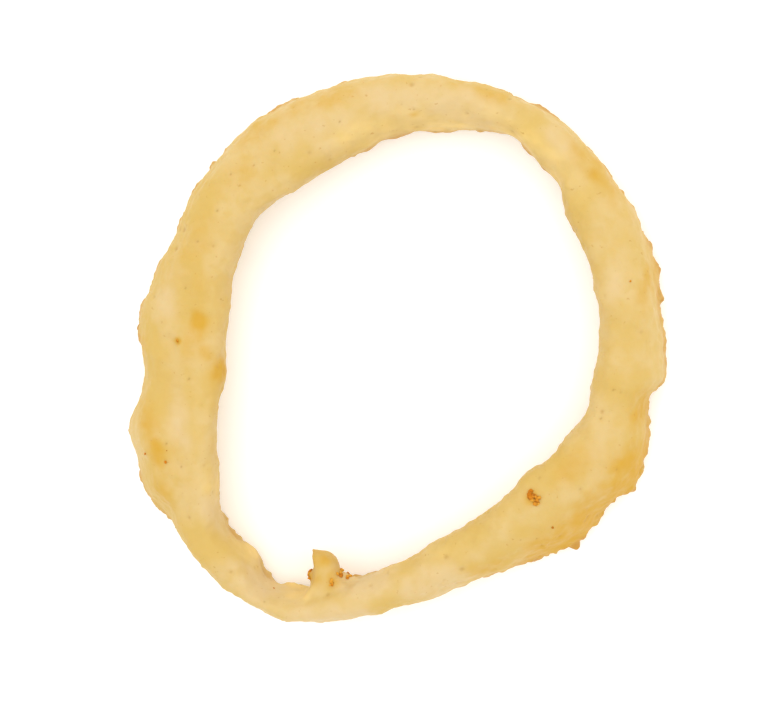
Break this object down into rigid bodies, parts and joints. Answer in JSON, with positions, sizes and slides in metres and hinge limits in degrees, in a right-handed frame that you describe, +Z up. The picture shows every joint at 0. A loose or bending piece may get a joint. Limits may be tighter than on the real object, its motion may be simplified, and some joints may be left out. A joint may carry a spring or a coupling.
{
  "type": "battered onion ring",
  "caption": "Deep-fried battered onion ring lying flat: an uneven coated band round a wide open hole, with a drip of coating on its inner edge.",
  "frame": {"origin": "on the surface the ring lies on, under the middle of its outline", "axes": "+Z up, out of the ring's hole; +Y from the side with the drip towards the side opposite; the wide side is at -X"},
  "size_m": [0.091, 0.091, 0.0142],
  "materials": {
    "fried_batter": null
  },
  "bodies": {
    "root": {"onion_ring": "fried_batter"}
  },
  "joints": []
}
